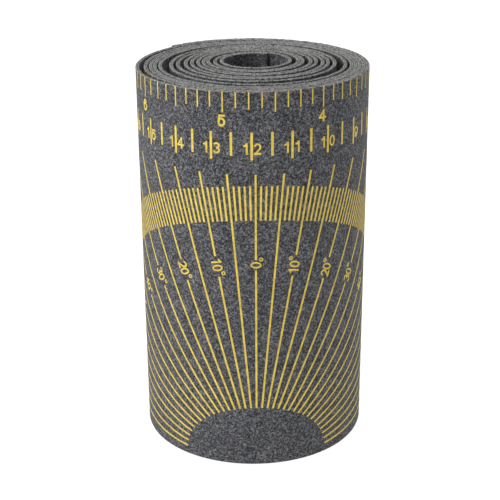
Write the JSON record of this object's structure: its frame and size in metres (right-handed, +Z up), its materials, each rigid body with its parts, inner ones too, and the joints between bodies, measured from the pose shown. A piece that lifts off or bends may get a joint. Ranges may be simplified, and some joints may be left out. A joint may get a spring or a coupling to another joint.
{
  "type": "wrap-around marking sheet",
  "caption": "Flexible fibre marking strip with printed inch and centimetre rulers and a protractor fan, rolled up and standing on its edge.",
  "frame": {"origin": "on the surface that the roll stands on, at the middle of the roll's outline", "axes": "+Z up along the roll's axis; the protractor's upright ray faces -Y, which is the front; +X is to the right seen from the front"},
  "size_m": [0.0606, 0.061, 0.1016],
  "materials": {
    "fibre_sheet": "matt, finely speckled pressed fibre with paler cut edges",
    "yellow_ink": "matt screen-printed ink, slightly broken by the fibres"
  },
  "bodies": {
    "root": {"wrap_sheet": "fibre_sheet", "inch_ticks": "yellow_ink", "inch_numerals": "yellow_ink", "centimetre_ticks": "yellow_ink", "centimetre_numerals": "yellow_ink", "protractor_rays": "yellow_ink", "protractor_degree_ticks": "yellow_ink", "protractor_numerals": "yellow_ink"}
  },
  "joints": []
}
